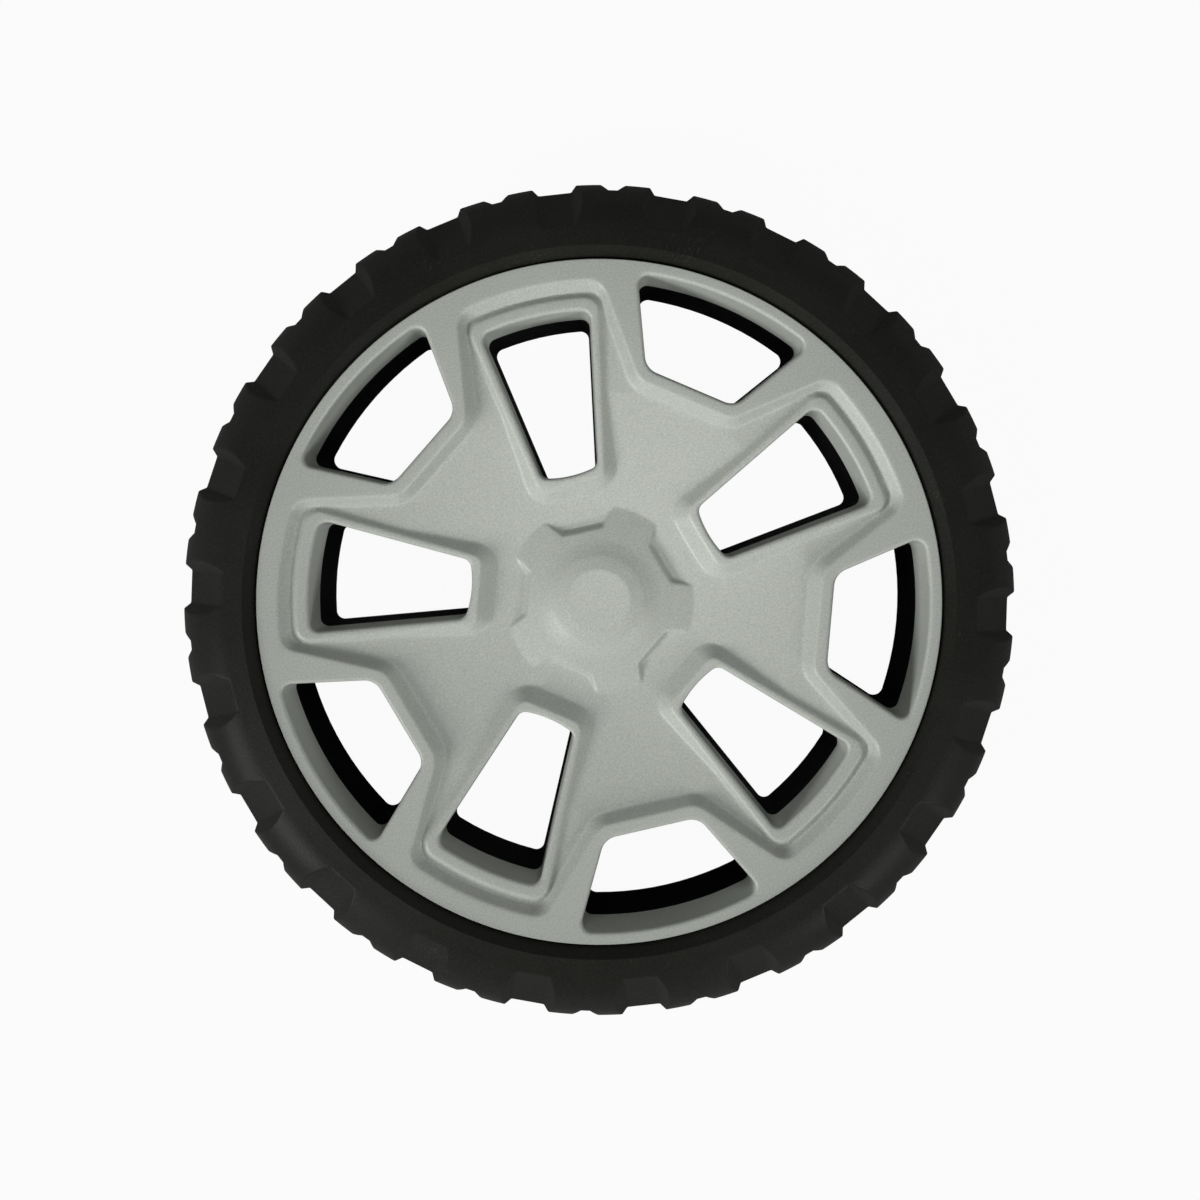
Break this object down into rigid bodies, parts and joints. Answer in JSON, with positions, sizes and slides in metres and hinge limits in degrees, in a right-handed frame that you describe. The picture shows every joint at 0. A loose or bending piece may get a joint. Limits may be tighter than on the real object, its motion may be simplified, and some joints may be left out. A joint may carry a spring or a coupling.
{
  "type": "wheel",
  "caption": "Spoked garden mower wheel: lugged rubber tyre on a moulded body with a windowed front cover, turning on sealed ball bearings for a plain axle.",
  "frame": {"origin": "on the wheel's axis, in the plane on which its rear side rests", "axes": "+Z along the axis towards the front cover, +Y through the middle of a long window"},
  "size_m": [0.2484, 0.2484, 0.05],
  "materials": {
    "tyre_rubber": "matte moulded rubber",
    "body_plastic": "fine moulded grain",
    "cover_plastic": "silver-grey, fine moulded grain",
    "spacer_steel": "turned",
    "bearing_steel": "ground",
    "ball_steel": "polished",
    "cage_steel": "pressed",
    "seal_rubber": "matte"
  },
  "bodies": {
    "wheel": {"tyre": "tyre_rubber", "wheel_body": "body_plastic", "wheel_cover": "cover_plastic", "front_bearing_outer_ring": "bearing_steel", "front_bearing_front_seal": "seal_rubber", "front_bearing_rear_seal": "seal_rubber", "rear_bearing_outer_ring": "bearing_steel", "rear_bearing_front_seal": "seal_rubber", "rear_bearing_rear_seal": "seal_rubber"},
    "axle_sleeve": {"front_bearing_inner_ring": "bearing_steel", "rear_bearing_inner_ring": "bearing_steel", "bearing_spacer": "spacer_steel"},
    "front_ball_set": {"front_bearing_balls": "ball_steel", "front_bearing_cage": "cage_steel"},
    "rear_ball_set": {"rear_bearing_balls": "ball_steel", "rear_bearing_cage": "cage_steel"}
  },
  "joints": [
    {"name": "axle_spin", "type": "hinge", "parent": "wheel", "child": "axle_sleeve", "pos_m": [0, 0, 0.016], "axis": [0, 0, 1], "continuous": true},
    {"name": "front_balls_spin", "type": "hinge", "parent": "wheel", "child": "front_ball_set", "pos_m": [0, 0, 0.025], "axis": [0, 0, 1], "continuous": true},
    {"name": "rear_balls_spin", "type": "hinge", "parent": "wheel", "child": "rear_ball_set", "pos_m": [0, 0, 0.007], "axis": [0, 0, 1], "continuous": true}
  ],
  "couplings": [
    {"joint": "front_balls_spin", "follows": "axle_spin", "ratio": 0.38095},
    {"joint": "rear_balls_spin", "follows": "axle_spin", "ratio": 0.38095}
  ]
}
